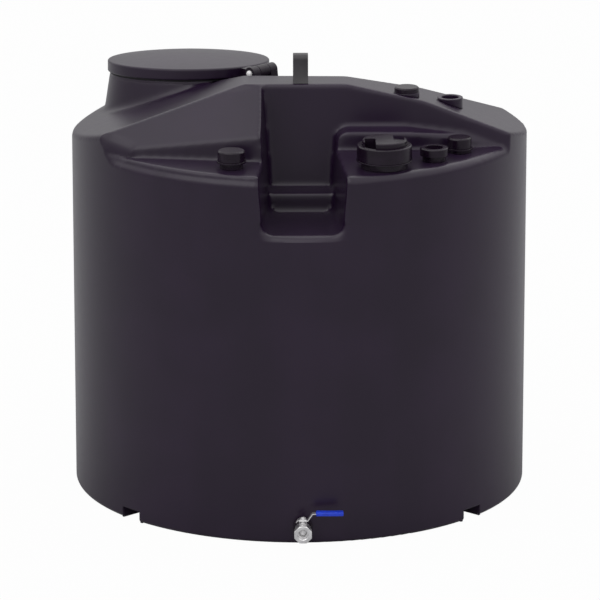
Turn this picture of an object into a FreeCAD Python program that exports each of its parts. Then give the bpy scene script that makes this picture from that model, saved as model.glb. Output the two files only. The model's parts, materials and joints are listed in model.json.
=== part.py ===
import FreeCAD, Part
import math
import os
import re
import Sketcher

# A one-piece moulded rainwater tank with a shaped roof, a hinged manway lid,
# screw ports and a lever ball valve. Millimetres, +Z up, front towards -Y.
# The origin is the centre of the flat base.

Vector = FreeCAD.Vector

# Driving dimensions
SIZES = {
    "tank_diameter": 1500,
    "wall_thickness": 8,
    "base_height": 160,
    "wall_top": 900,
    "bottom_round": 14,
    "notch_angle": 48,
    "notch_width": 82,
    "notch_height": 38,
    "notch_depth": 110,
    "deck_height": 1210,
    "left_step_drop": 22,
    "right_step_drop": 10,
    "deck_step_width": 13,
    "deck_round": 8,
    "step_round": 5,
    "mouth_round": 6,
    "plateau_height": 1416,
    "plateau_front": 315,
    "plateau_half": 150,
    "left_plateau_half": 183,
    "roof_fall": 0.1,
    "wing_fall": 0.225,
    "wing_fold_across": 400,
    "outer_wing_fall": 0.382,
    "left_wing_fall": 0.342,
    "back_crown_height": 1351,
    "rim_height": 1190,
    "back_fall": 0.417,
    "back_side_fall": 0.02,
    "back_right_fall": 0.07,
    "roof_round": 14,
    "crest_round": 8,
    "shelf_edge_round": 6,
    "ledge_round": 12,
    "well_half": 100,
    "well_taper": 0.08,
    "well_draft": 0.075,
    "well_floor": 1020,
    "well_shelf": 1082,
    "well_back": 337,
    "well_step": 435,
    "well_round": 36,
    "right_shelf_height": 1281,
    "right_shelf_front": 376,
    "right_shelf_fall": 0.214,
    "right_bend_across": 340,
    "right_bend_front": 380,
    "right_shelf_round": 40,
    "right_tip_across": 693,
    "right_tip_front": 287,
    "right_tip_height": 1242,
    "right_toe_across": 668,
    "right_toe_front": 324,
    "right_toe_height": 1212,
    "left_wall_front": 543,
    "left_wall_height": 1275,
    "left_wall_turn": 0.1575,
    "left_wall_draft": 0.15,
    "left_face_fall": 0.623,
    "left_face_side_fall": 0.208,
    "left_crest_across": 132,
    "left_end_across": 639,
    "left_end_front": 392,
    "left_end_height": 1262,
    "left_end_side_fall": 3.24,
    "left_end_fall": 4.41,
    "manway_across": 367,
    "manway_back": 262,
    "manway_lean": 5.5,
    "manway_seat_height": 1326,
    "manway_base_radius": 285,
    "manway_top_radius": 262,
    "manway_neck_wall": 14,
    "manway_neck_depth": 150,
    "gasket_width": 10,
    "gasket_thickness": 5,
    "seat_gap": 0.3,
    "lid_radius": 270,
    "lid_rim_height": 36,
    "lid_rise": 20,
    "lid_skin": 8,
    "lid_edge_round": 6,
    "hinge_reach": 342,
    "hinge_height": 1381,
    "hinge_barrel_across": 44,
    "hinge_length": 110,
    "hinge_lid_length": 44,
    "hinge_knuckle_gap": 1,
    "hinge_pin_across": 22,
    "hinge_pin_proud": 9,
    "hinge_pin_dome": 8.5,
    "hinge_running_gap": 0.1,
    "hinge_arm_width": 42,
    "hinge_arm_reach": 92,
    "hinge_arm_depth": 26,
    "hinge_arm_top": 2,
    "hinge_foot_reach": 30,
    "hinge_foot_width": 52,
    "hinge_foot_depth": 66,
    "hinge_foot_drop": 34,
    "lug_width": 48,
    "lug_depth": 64,
    "lug_height": 93,
    "lug_flare": 12,
    "lug_flare_height": 24,
    "lug_round": 18,
    "lug_eye_across": 30,
    "lug_eye_height": 62,
    "lug_setback": 10,
    "open_circle_radius": 663,
    "left_circle_radius": 638,
    "inspection_circle_radius": 647,
    "right_circle_radius": 647,
    "right_flange_across": 86,
    "right_cap_across": 78,
    "port_neck_across": 74,
    "port_neck_height": 18,
    "right_neck_height": 10,
    "left_flange_across": 94,
    "port_flange_height": 6,
    "port_bore_across": 57,
    "left_cap_across": 88,
    "port_cap_height": 34,
    "port_cap_chamfer": 4,
    "port_plug_depth": 18,
    "port_plug_gap": 0.3,
    "port_ring_across": 91,
    "port_ring_height": 26,
    "port_ring_chamfer": 3,
    "left_port_angle": -20.6,
    "inspection_port_angle": 23.9,
    "open_port_angle": 39.7,
    "right_port_angle": 52,
    "inspection_neck_across": 150,
    "inspection_neck_height": 22,
    "inspection_flange_across": 180,
    "inspection_flange_height": 4,
    "inspection_ring_across": 176,
    "inspection_ring_height": 48,
    "inspection_bore_across": 130,
    "inspection_cap_across": 143,
    "inspection_cap_height": 17,
    "inspection_slot_width": 34,
    "inspection_slot_across": 46,
    "inspection_slot_reach": 80,
    "inspection_slot_depth": 36,
    "roof_boss_across": 83,
    "roof_boss_depth": 60,
    "roof_port_cap_side": 344,
    "roof_port_cap_front": 260,
    "roof_port_cap_seat": 1377.5,
    "roof_port_open_side": 490,
    "roof_port_open_front": 150,
    "roof_port_open_top": 1333,
    "roof_cap_height": 17,
    "roof_cap_across": 80,
    "outlet_height": 60,
    "outlet_boss_across": 64,
    "outlet_boss_length": 16,
    "outlet_pipe_across": 33.4,
    "outlet_pipe_bore": 25,
    "outlet_pipe_length": 60,
    "outlet_pipe_inside": 14,
    "valve_stem_reach": 52,
    "valve_body_across": 50,
    "valve_back_reach": 25,
    "valve_hex_across": 41,
    "valve_hex_length": 16,
    "valve_end_across": 56,
    "valve_end_length": 22,
    "valve_end_chamfer": 4,
    "valve_mouth_chamfer": 2.5,
    "valve_thread_across": 30.3,
    "valve_thread_depth": 16,
    "valve_ball_across": 38,
    "valve_ball_gap": 0.3,
    "valve_seat_gap": 0.1,
    "valve_seat_start": 13.5,
    "valve_seat_depth": 19,
    "valve_tower_across": 26,
    "valve_tower_top": 27,
    "gland_across": 22,
    "gland_height": 5,
    "stem_across": 10,
    "stem_top": 48,
    "lever_seat": 35,
    "lever_thickness": 3,
    "lever_width": 20,
    "lever_hub": 14,
    "lever_stem_gap": 0.05,
    "lever_rise": 23,
    "lever_bend_start": 16,
    "lever_bend_end": 32,
    "lever_length": 122,
    "lever_nut_across": 17,
    "lever_nut_height": 6,
    "sleeve_start": 42,
    "sleeve_length": 88,
    "sleeve_width": 25,
    "sleeve_height": 13,
    "lock_tail_length": 23,
    "lock_tail_drop": 8,
    "lock_thickness": 2,
    "lock_width": 16,
}

document = FreeCAD.newDocument("rainwater_tank")
sheet = document.addObject("Spreadsheet::Sheet", "Sizes")
for row, (word, value) in enumerate(SIZES.items(), start=1):
    sheet.set("A%d" % row, word)
    sheet.set("B%d" % row, str(value))
    sheet.setAlias("B%d" % row, word)
document.recompute()

pieces = []


def size(word):
    # The value of one cell of the sheet.
    return float(sheet.get(word))


def formula(text):
    # An expression in which each size's name points at its cell.
    return re.sub(r"[a-z_]+[a-z]", lambda found: pointed(found.group(0)), text)


def pointed(word):
    return "Sizes." + word if word in SIZES else word


def bind(item, **properties):
    for name, text in properties.items():
        item.setExpression(name, formula(text))


def placed(item, base, rotation=None):
    item.Placement = FreeCAD.Placement(base, rotation or FreeCAD.Rotation())


def keep(item, node):
    # Mark one object of the document as a finished sub-part.
    item.Label = node
    pieces.append(item)
    return item


def cylinder(name, radius, height, angle="360"):
    item = document.addObject("Part::Cylinder", name)
    bind(item, Radius=radius, Height=height, Angle=angle)
    return item


def box(name, length, width, height):
    item = document.addObject("Part::Box", name)
    bind(item, Length=length, Width=width, Height=height)
    return item


def cut(name, base, tool):
    item = document.addObject("Part::Cut", name)
    item.Base = base
    item.Tool = tool
    return item


def common(name, base, tool):
    item = document.addObject("Part::Common", name)
    item.Base = base
    item.Tool = tool
    return item


def fuse(name, *shapes):
    item = document.addObject("Part::MultiFuse", name)
    item.Shapes = list(shapes)
    return item


def own_plane(body, role):
    return [item for item in body.Origin.OriginFeatures if item.Role == role][0]


def outline(body, name, role, points):
    # A closed sketch whose corners are bound to the sheet.
    sketch = body.newObject("Sketcher::SketchObject", name)
    sketch.AttachmentSupport = [(own_plane(body, role), "")]
    sketch.MapMode = "FlatFace"
    count = len(points)
    spread = [2 * math.pi * index / count for index in range(count)]
    starts = [Vector(200 + 90 * math.cos(turn), 90 * math.sin(turn), 0) for turn in spread]
    for index in range(count):
        sketch.addGeometry(Part.LineSegment(starts[index], starts[(index + 1) % count]))
    for index in range(count):
        following = (index + 1) % count
        sketch.addConstraint(Sketcher.Constraint("Coincident", index, 2, following, 1))
    for index, corner in enumerate(points):
        for kind, text in zip(("DistanceX", "DistanceY"), corner):
            place = sketch.addConstraint(Sketcher.Constraint(kind, -1, 1, index, 1, 1.0))
            sketch.setExpression("Constraints[%d]" % place, formula(text))
    return sketch


def revolved(name, points):
    # A body turned about its own Z axis from a profile in radius and height.
    body = document.addObject("PartDesign::Body", name)
    sketch = outline(body, name + "_profile", "XZ_Plane", points)
    document.recompute()
    turn = body.newObject("PartDesign::Revolution", name + "_turn")
    turn.Profile = sketch
    turn.ReferenceAxis = (sketch, ["V_Axis"])
    turn.Angle = 360
    document.recompute()
    return body


def padded(name, role, points, length, midplane=False):
    # A body padded from an outline on one of its own planes.
    body = document.addObject("PartDesign::Body", name)
    sketch = outline(body, name + "_outline", role, points)
    pad = body.newObject("PartDesign::Pad", name + "_pad")
    pad.Profile = sketch
    pad.Midplane = midplane
    pad.setExpression("Length", formula(length))
    document.recompute()
    return body


# Moulded form of the roof, drawn with flat planes and rounded afterwards
radius = size("tank_diameter") / 2
wall = size("wall_thickness")
span = 3 * size("tank_diameter")
upright = Vector(0, 0, 1)


def behind(point, normal, inset=0):
    # Everything on the inner side of a plane, drawn in by a thickness
    block = Part.makeBox(span, span, span, Vector(-span / 2, -span / 2, -span))
    outward = Vector(normal).normalize()
    lean = FreeCAD.Rotation(upright, outward)
    block.Placement = FreeCAD.Placement(point - outward * inset, lean)
    return block


def plane_normal(first, second, third):
    normal = (second - first).cross(third - first)
    return normal if normal.z > 0 else normal * -1


def within(shape, limits):
    for limit in limits:
        shape = shape.common(limit)
    return shape


def roof_limits(inset):
    # The plateau, its two wings and the slope behind them
    fall = size("roof_fall")
    wing = size("wing_fall")
    crown = Vector(0, -size("plateau_front"), size("plateau_height"))
    shoulder = Vector(size("plateau_half"), 0, 0)
    left_shoulder = Vector(size("left_plateau_half"), 0, 0)
    run = size("wing_fold_across") - size("plateau_half")
    fold = Vector(run, 0, -wing * run)
    back = Vector(0, 0, size("back_crown_height"))
    back_normal = Vector(size("back_side_fall"), size("back_fall"), 1)
    right_normal = Vector(size("back_right_fall"), size("back_fall"), 1)
    right_back = back + Vector(size("plateau_half"), 0, -size("back_side_fall") * size("plateau_half"))
    return [
        behind(crown, Vector(0, fall, 1), inset),
        behind(crown + shoulder, Vector(wing, fall, 1), inset),
        behind(crown + shoulder + fold, Vector(size("outer_wing_fall"), fall, 1), inset),
        behind(right_back, right_normal, inset),
        behind(crown - left_shoulder, Vector(-size("left_wing_fall"), fall, 1), inset),
        behind(back, back_normal, inset),
    ]


def front_wall_normal():
    # The drafted wall behind the well and above the right-hand shelf
    rise = size("plateau_height") - size("well_shelf")
    return Vector(0, -rise, size("well_back") - size("plateau_front"))


def left_limits(inset):
    # The leaning face on the left and the wall that stands on the deck below it
    crest = Vector(-size("left_crest_across"), -size("plateau_front"), size("plateau_height"))
    slope = Vector(-size("left_face_side_fall"), -size("left_face_fall"), 1)
    foot = Vector(0, -size("left_wall_front"), size("left_wall_height"))
    outward = Vector(-size("left_wall_turn"), -1, size("left_wall_draft"))
    end = Vector(-size("left_end_across"), -size("left_end_front"), size("left_end_height"))
    turned = Vector(-size("left_end_side_fall"), -size("left_end_fall"), 1)
    return [behind(crest, slope, inset), behind(foot, outward, inset), behind(end, turned, inset)]


def right_limits(inset):
    # The shelf on the right, level at first, then folded and creased down to the rim
    height = size("right_shelf_height")
    fall = size("right_shelf_fall")
    back = size("plateau_front")
    root = Vector(size("plateau_half"), -size("right_shelf_front"), 0)
    reach = size("right_bend_front") - back
    rear = Vector(size("right_bend_across"), -back, height)
    bend = rear + Vector(0, -reach, -fall * reach)
    tip = Vector(
        size("right_tip_across"), -size("right_tip_front"), size("right_tip_height")
    )
    toe = Vector(
        size("right_toe_across"), -size("right_toe_front"), size("right_toe_height")
    )
    limits = [
        behind(rear, Vector(0, -fall, 1), inset),
        behind(rear, plane_normal(rear, bend, tip), inset),
        behind(bend, plane_normal(bend, toe, tip), inset),
    ]
    for start, end in ((root, bend), (bend, toe)):
        run = end - start
        limits.append(behind(start, Vector(run.y, -run.x, 0), inset))
    return limits


def well_void(inset):
    # The stepped well in the front, which narrows towards its back
    back = Vector(0, -size("well_back"), size("well_shelf"))
    corner = Vector(size("well_half"), 0, 0)
    taper = size("well_taper")
    draft = size("well_draft")
    sides = [
        behind(back + corner, Vector(1, taper, -draft), -inset),
        behind(back - corner, Vector(-1, taper, -draft), -inset),
    ]
    floor = Vector(0, -size("well_step"), size("well_floor"))
    low = within(behind(floor, Vector(0, 1, 0), -inset), sides)
    low = low.common(behind(floor, Vector(0, 0, -1), -inset))
    high = within(behind(back, front_wall_normal() * -1, -inset), sides)
    high = high.common(behind(back, Vector(0, 0, -1), -inset))
    return low, high


def edge_near(shape, point):
    spot = Part.Vertex(point)
    return min(shape.Edges, key=lambda edge: edge.distToShape(spot)[0])


def rounded(shape, amount, points):
    # Round the edges that lie nearest to some points
    chosen = []
    for point in points:
        edge = edge_near(shape, point)
        if not any(edge.isSame(other) for other in chosen):
            chosen.append(edge)
    return shape.makeFillet(amount, chosen)


def moulded_form(inset):
    bottom = size("wall_top")
    stock = Part.makeCylinder(radius - inset, size("plateau_height"), Vector(0, 0, bottom))
    left_side = behind(Vector(0, 0, 0), Vector(1, 0, 0))
    right_side = behind(Vector(0, 0, 0), Vector(-1, 0, 0))
    back = Vector(0, -size("well_back"), size("well_shelf"))
    wall_a = behind(back, front_wall_normal(), inset)
    roof = within(stock, roof_limits(inset))
    rim = behind(Vector(0, 0, size("rim_height")), Vector(0, size("roof_fall"), 1), inset)
    leaning = within(roof, [left_side] + left_limits(inset))
    low_right = within(stock, [right_side] + right_limits(inset))
    low_right = within(low_right, roof_limits(inset))
    step_radius = radius - size("deck_step_width") - inset
    deck = size("deck_height") - inset - bottom
    floor = Part.makeCylinder(step_radius, deck, Vector(0, 0, bottom))
    skirts = [
        Part.makeCylinder(radius - inset, deck - size(drop), Vector(0, 0, bottom)).common(side)
        for drop, side in (("left_step_drop", left_side), ("right_step_drop", right_side))
    ]
    front = behind(Vector(0, -size("plateau_front"), 0), Vector(0, 1, 0))
    decks = floor.multiFuse(skirts).common(front)
    rear = stock.common(wall_a).common(rim)
    form = decks.multiFuse([roof.common(wall_a), rear, leaning, low_right])
    low, high = well_void(inset)
    return form.cut(low).cut(high).removeSplitter()


def around(distance, angle, height=0):
    # A point at an angle from the front, positive towards the right
    turn = math.radians(angle)
    return Vector(distance * math.sin(turn), -distance * math.cos(turn), height)


def shelf_rounded(form, inset):
    # The corner of the shelf above the well, drawn in with the wall
    middle = -(size("well_back") + size("well_step")) / 2
    corner = Vector(size("well_half") + wall * 2, middle, size("right_shelf_height") - inset)
    return rounded(form, size("right_shelf_round") - inset, [corner])


def rounded_form():
    form = moulded_form(0)
    deck = size("deck_height")
    rim = deck - size("right_step_drop")
    step = radius - size("deck_step_width")
    half = size("well_half")
    floor = size("well_floor")
    across = -radius / 2
    wall_line = -size("left_wall_front") - size("left_wall_turn") * across
    form = rounded(form, size("ledge_round"), [Vector(across, wall_line, size("left_wall_height"))])
    form = rounded(form, size("well_round"), [
        Vector(side * (half + wall * 3), -radius * 0.8, floor) for side in (-1, 1)
    ])
    form = shelf_rounded(form, 0)
    rear = (90, -90, 120, 125, 140, 150, 180, -135)
    form = rounded(form, size("roof_round"), [
        around(radius, angle, size("rim_height") - wall) for angle in rear
    ])
    crest = -size("plateau_front")
    run = size("wing_fold_across") - size("plateau_half")
    fold = size("plateau_height") - size("wing_fall") * run
    outer = fold - size("outer_wing_fall") * (radius * 0.7 - size("wing_fold_across"))
    form = rounded(form, size("crest_round"), [
        Vector(0, crest, size("plateau_height")),
        Vector(size("wing_fold_across") - wall * 8, crest, fold + wall),
        Vector(radius * 0.7, crest - wall, outer),
    ])
    shelf_edge = Vector(radius * 0.4, -size("right_shelf_front") + wall, size("right_shelf_height") - wall * 2)
    form = rounded(form, size("shelf_edge_round"), [shelf_edge])
    form = rounded(form, size("deck_round"), [around(radius, 25, rim)])
    for side in (-25, 25):
        form = rounded(form, size("step_round"), [around(step, side, deck)])
    front = Vector(0, -size("well_step"), size("well_shelf"))
    form = rounded(form, size("deck_round"), [front])
    mouth = [around(radius, side, (floor + rim) / 2) for side in (-10.3, 10.3)]
    return rounded(form, size("mouth_round"), mouth)


# Places that several sub-parts share
manway_turn = FreeCAD.Rotation(Vector(1, 0, 0), -size("manway_lean"))
manway_seat = Vector(-size("manway_across"), size("manway_back"), size("manway_seat_height"))


def manway_cone(base_radius, top_radius, extra):
    # A cone whose top is the seat of the gasket, reaching down through the roof
    depth = size("manway_neck_depth")
    cone = Part.makeCone(base_radius, top_radius, depth + extra, Vector(0, 0, -depth))
    cone.Placement = FreeCAD.Placement(manway_seat, manway_turn)
    return cone


deck_ports = {
    "left": around(size("left_circle_radius"), size("left_port_angle")),
    "open": around(size("open_circle_radius"), size("open_port_angle")),
    "right": around(size("right_circle_radius"), size("right_port_angle")),
}
inspection_port = around(size("inspection_circle_radius"), size("inspection_port_angle"))
roof_ports = {
    "cap": Vector(size("roof_port_cap_side"), -size("roof_port_cap_front"), 0),
    "open": Vector(size("roof_port_open_side"), -size("roof_port_open_front"), 0),
}


def bore(place, across):
    length = size("tank_diameter")
    return Part.makeCylinder(across / 2, length, place + Vector(0, 0, size("wall_top")))


form = rounded_form()


def tank_top():
    # The roof is a shell of even thickness, open below, with its manway and ports cut
    shell = form.cut(shelf_rounded(moulded_form(wall), wall))
    narrow = size("manway_top_radius") - size("manway_neck_wall")
    wide = size("manway_base_radius") - size("manway_neck_wall")
    shell = shell.cut(manway_cone(wide, narrow, 0))
    for place in list(deck_ports.values()) + list(roof_ports.values()):
        shell = shell.cut(bore(place, size("port_bore_across")))
    shell = shell.cut(bore(inspection_port, size("inspection_bore_across")))
    item = document.addObject("Part::Feature", "tank_top")
    item.Shape = shell
    return keep(item, "tank_top")


def manway_neck():
    outside = manway_cone(size("manway_base_radius"), size("manway_top_radius"), 0)
    thick = size("manway_neck_wall")
    inside = manway_cone(
        size("manway_base_radius") - thick, size("manway_top_radius") - thick, 0
    )
    item = document.addObject("Part::Feature", "manway_neck")
    item.Shape = outside.cut(inside).cut(form)
    return keep(item, "manway_neck")


def tank_wall():
    # Six curved slabs between the base and the roof
    segment = 360 / 6
    for index in range(6):
        name = "tank_wall_%d" % (index + 1)
        outer = cylinder(name + "_outer", "tank_diameter / 2", "wall_top - base_height", "60")
        inner = cylinder(
            name + "_inner", "tank_diameter / 2 - wall_thickness", "wall_top - base_height", "60"
        )
        slab = cut(name, outer, inner)
        turn = FreeCAD.Rotation(upright, index * segment)
        placed(slab, Vector(0, 0, size("base_height")), turn)
        keep(slab, name)


def tank_base():
    # A flat dish with four pockets moulded in from its bottom edge
    outer = cylinder("base_outer", "tank_diameter / 2", "base_height")
    document.recompute()
    foot = document.addObject("Part::Fillet", "base_foot")
    foot.Base = outer
    round_size = size("bottom_round")
    foot.Edges = [(edge_number(outer.Shape, Vector(0, -radius, 0)), round_size, round_size)]
    inner = cylinder("base_inner", "tank_diameter / 2 - wall_thickness", "base_height")
    placed(inner, Vector(0, 0, wall))
    dish = cut("base_dish", foot, inner)
    housings = []
    pockets = []
    angle = size("notch_angle")
    for index, turn in enumerate((angle, -angle, 180 - angle, angle - 180)):
        housing = box(
            "notch_housing_%d" % index,
            "notch_width + 2 * wall_thickness",
            "notch_depth + wall_thickness",
            "notch_height + wall_thickness",
        )
        pocket = box("notch_pocket_%d" % index, "notch_width", "notch_depth * 2", "notch_height")
        facing = FreeCAD.Rotation(upright, turn)
        half = size("notch_width") / 2
        placed(housing, facing.multVec(Vector(-half - wall, -radius, 0)), facing)
        start = -radius - size("notch_depth")
        placed(pocket, facing.multVec(Vector(-half, start, 0)), facing)
        housings.append(housing)
        pockets.append(pocket)
    inside = cylinder("base_reach", "tank_diameter / 2 - wall_thickness / 2", "base_height")
    blocks = common("notch_blocks", fuse("notch_housings", *housings), inside)
    hollowed = cut("base_notched", fuse("base_solid", dish, blocks), fuse("notches", *pockets))
    hole = cylinder("outlet_hole", "outlet_pipe_across / 2", "outlet_pipe_length * 2")
    placed(hole, Vector(0, size("outlet_pipe_length") - radius, size("outlet_height")), towards_front)
    base = cut("tank_base", hollowed, hole)
    keep(base, "tank_base")


def edge_number(shape, point):
    edge = edge_near(shape, point)
    return [other.isSame(edge) for other in shape.Edges].index(True) + 1


towards_front = FreeCAD.Rotation(Vector(1, 0, 0), 90)
towards_right = FreeCAD.Rotation(Vector(0, 1, 0), 90)


def manway_lid():
    gasket = revolved("lid_gasket", [
        ("manway_top_radius - manway_neck_wall / 2 - gasket_width / 2", "0"),
        ("manway_top_radius - manway_neck_wall / 2 + gasket_width / 2", "0"),
        ("manway_top_radius - manway_neck_wall / 2 + gasket_width / 2", "gasket_thickness"),
        ("manway_top_radius - manway_neck_wall / 2 - gasket_width / 2", "gasket_thickness"),
    ])
    placed(gasket, manway_seat, manway_turn)
    keep(gasket, "lid_gasket")
    disc = cylinder("lid_disc", "lid_radius", "lid_rim_height + lid_rise")
    ball = document.addObject("Part::Sphere", "lid_dome")
    dome = "(lid_radius ^ 2 + lid_rise ^ 2) / (2 * lid_rise)"
    bind(ball, Radius=dome)
    ball.setExpression("Placement.Base.z", formula("lid_rim_height + lid_rise - " + dome))
    domed = common("lid_domed", disc, ball)
    document.recompute()
    rim = document.addObject("Part::Fillet", "lid_rim")
    rim.Base = domed
    lid_radius = size("lid_radius")
    rim_height = size("lid_rim_height")
    soft = size("lid_edge_round")
    numbers = [
        edge_number(domed.Shape, Vector(0, -lid_radius, level)) for level in (0, rim_height)
    ]
    rim.Edges = [(numbers[0], soft / 2, soft / 2), (numbers[1], soft, soft)]
    hollow = cylinder(
        "lid_hollow", "manway_top_radius - manway_neck_wall", "lid_rim_height - lid_skin"
    )
    lid = cut("manway_lid", rim, hollow)
    lift = size("gasket_thickness") + size("seat_gap")
    placed(lid, manway_seat + manway_turn.multVec(Vector(0, 0, lift)), manway_turn)
    return keep(lid, "manway_lid")


hinge_turn = FreeCAD.Rotation(upright, 45)
hinge_centre = Vector(
    manway_seat.x + size("hinge_reach") * math.cos(math.radians(45)),
    manway_seat.y - size("hinge_reach") * math.sin(math.radians(45)),
    size("hinge_height"),
)


def at_hinge(item, out=0, along=0, up=0, lean=None):
    # Place by distance out towards the front right, along the pin, and up
    shift = hinge_turn.multVec(Vector(along, -out, up))
    turn = hinge_turn.multiply(lean) if lean else hinge_turn
    placed(item, hinge_centre + shift, turn)
    return item


def hinge():
    # A pin through two fixed knuckles and the knuckle of the lid's arm
    length = size("hinge_length")
    middle = size("hinge_lid_length")
    gap = size("hinge_knuckle_gap")
    side = (length - middle) / 2 - gap
    hole = cylinder("hinge_hole", "hinge_pin_across / 2 + hinge_running_gap", "hinge_length")
    at_hinge(hole, along=-length / 2, lean=towards_right)
    roof = document.addObject("Part::Feature", "roof_face")
    roof.Shape = form
    fixed = []
    for name, start in (("near", -length / 2), ("far", length / 2 - side)):
        width = "(hinge_length - hinge_lid_length) / 2 - hinge_knuckle_gap"
        knuckle = cylinder("knuckle_" + name, "hinge_barrel_across / 2", width)
        cheek = padded("cheek_" + name, "YZ_Plane", [
            ("-hinge_foot_reach", "-hinge_foot_depth"),
            ("hinge_barrel_across / 2", "-hinge_foot_depth"),
            ("hinge_barrel_across / 2", "0"),
            ("-hinge_barrel_across / 2", "0"),
        ], width)
        at_hinge(knuckle, along=start, lean=towards_right)
        at_hinge(cheek, along=start)
        fixed += [knuckle, cheek]
    foot = box("hinge_foot", "hinge_length", "hinge_foot_width", "hinge_foot_depth")
    shift = -size("hinge_foot_depth") - size("hinge_foot_drop")
    at_hinge(foot, size("hinge_foot_reach"), -length / 2, shift)
    whole = cut("bracket_bored", fuse("bracket_whole", foot, *fixed), hole)
    keep(cut("hinge_bracket", whole, roof), "hinge_bracket")
    rod = cylinder("pin_rod", "hinge_pin_across / 2", "hinge_length + 2 * hinge_pin_proud")
    document.recompute()
    pin = document.addObject("Part::Fillet", "hinge_pin")
    pin.Base = rod
    dome = size("hinge_pin_dome")
    far = length + 2 * size("hinge_pin_proud")
    across = size("hinge_pin_across") / 2
    ends = [edge_number(rod.Shape, Vector(-across, 0, level)) for level in (0, far)]
    pin.Edges = [(number, dome, dome) for number in ends]
    at_hinge(pin, along=-length / 2 - size("hinge_pin_proud"), lean=towards_right)
    keep(pin, "hinge_pin")
    return hole


def lid_arm(lid, hole):
    # A block from the hinge to the rim of the lid
    middle = size("hinge_lid_length")
    knuckle = cylinder("lid_knuckle", "hinge_barrel_across / 2", "hinge_lid_length")
    at_hinge(knuckle, along=-middle / 2, lean=towards_right)
    strap = box("lid_strap", "hinge_arm_width", "hinge_arm_reach", "hinge_arm_depth")
    at_hinge(strap, 0, -size("hinge_arm_width") / 2, size("hinge_arm_top") - size("hinge_arm_depth"))
    whole = cut("arm_bored", fuse("arm_whole", knuckle, strap), hole)
    keep(cut("hinge_lid_arm", whole, lid), "hinge_lid_arm")


def lifting_lug():
    # An upright eye plate with a flared foot on the front edge of the plateau
    lug = padded("lug_plate", "YZ_Plane", [
        ("-lug_depth / 2 - lug_flare", "0"),
        ("lug_depth / 2 + lug_flare", "0"),
        ("lug_depth / 2", "lug_flare_height"),
        ("lug_depth / 2", "lug_height"),
        ("-lug_depth / 2", "lug_height"),
        ("-lug_depth / 2", "lug_flare_height"),
    ], "lug_width", midplane=True)
    plain = lug.Tip
    corners = [
        Vector(0, side * size("lug_depth") / 2, size("lug_height")) for side in (-1, 1)
    ]
    soft = lug.newObject("PartDesign::Fillet", "lug_top")
    soft.Base = (plain, ["Edge%d" % edge_number(plain.Shape, corner) for corner in corners])
    bind(soft, Radius="lug_round")
    lug.Tip = soft
    eye = cylinder("lug_eye", "lug_eye_across / 2", "lug_width * 2")
    placed(eye, Vector(-size("lug_width"), 0, size("lug_eye_height")), towards_right)
    plate = cut("lifting_lug", lug, eye)
    lean = FreeCAD.Rotation(upright, Vector(0, size("roof_fall"), 1))
    back = size("lug_setback") + size("lug_flare") + size("lug_depth") / 2
    fall = size("roof_fall") * back
    place = Vector(0, back - size("plateau_front"), size("plateau_height") - fall)
    placed(plate, place, lean)
    keep(plate, "lifting_lug")


def port_neck(node, place, flange, height):
    top = height + " + port_flange_height"
    neck = revolved(node, [
        ("port_bore_across / 2", "0"),
        ("port_neck_across / 2", "0"),
        ("port_neck_across / 2", height),
        (flange + " / 2", height),
        (flange + " / 2", top),
        ("port_bore_across / 2", top),
    ])
    placed(neck, place)
    keep(neck, node)


def port_cap(node, place, across, height="port_cap_height"):
    # A screw cap with a plug that hangs in the bore
    cap = revolved(node, [
        ("0", "-port_plug_depth"),
        ("port_bore_across / 2 - port_plug_gap", "-port_plug_depth"),
        ("port_bore_across / 2 - port_plug_gap", "0"),
        (across + " / 2", "0"),
        (across + " / 2", height + " - port_cap_chamfer"),
        (across + " / 2 - port_cap_chamfer", height),
        ("0", height),
    ])
    placed(cap, place)
    keep(cap, node)


def deck_fittings():
    deck = Vector(0, 0, size("deck_height"))
    for side, neck in (("left", "port_neck_height"), ("right", "right_neck_height")):
        place = deck_ports[side] + deck
        seat = place + Vector(0, 0, size(neck) + size("port_flange_height"))
        port_neck(side + "_port_neck", place, side + "_flange_across", neck)
        port_cap(side + "_port_cap", seat, side + "_cap_across")
    ring_top = "port_neck_height + port_ring_height"
    ring = revolved("open_port_neck", [
        ("port_bore_across / 2", "0"),
        ("port_neck_across / 2", "0"),
        ("port_neck_across / 2", "port_neck_height"),
        ("port_ring_across / 2", "port_neck_height"),
        ("port_ring_across / 2", ring_top + " - port_ring_chamfer"),
        ("port_ring_across / 2 - port_ring_chamfer", ring_top),
        ("port_bore_across / 2", ring_top),
    ])
    placed(ring, deck_ports["open"] + deck)
    keep(ring, "open_port_neck")


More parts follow.
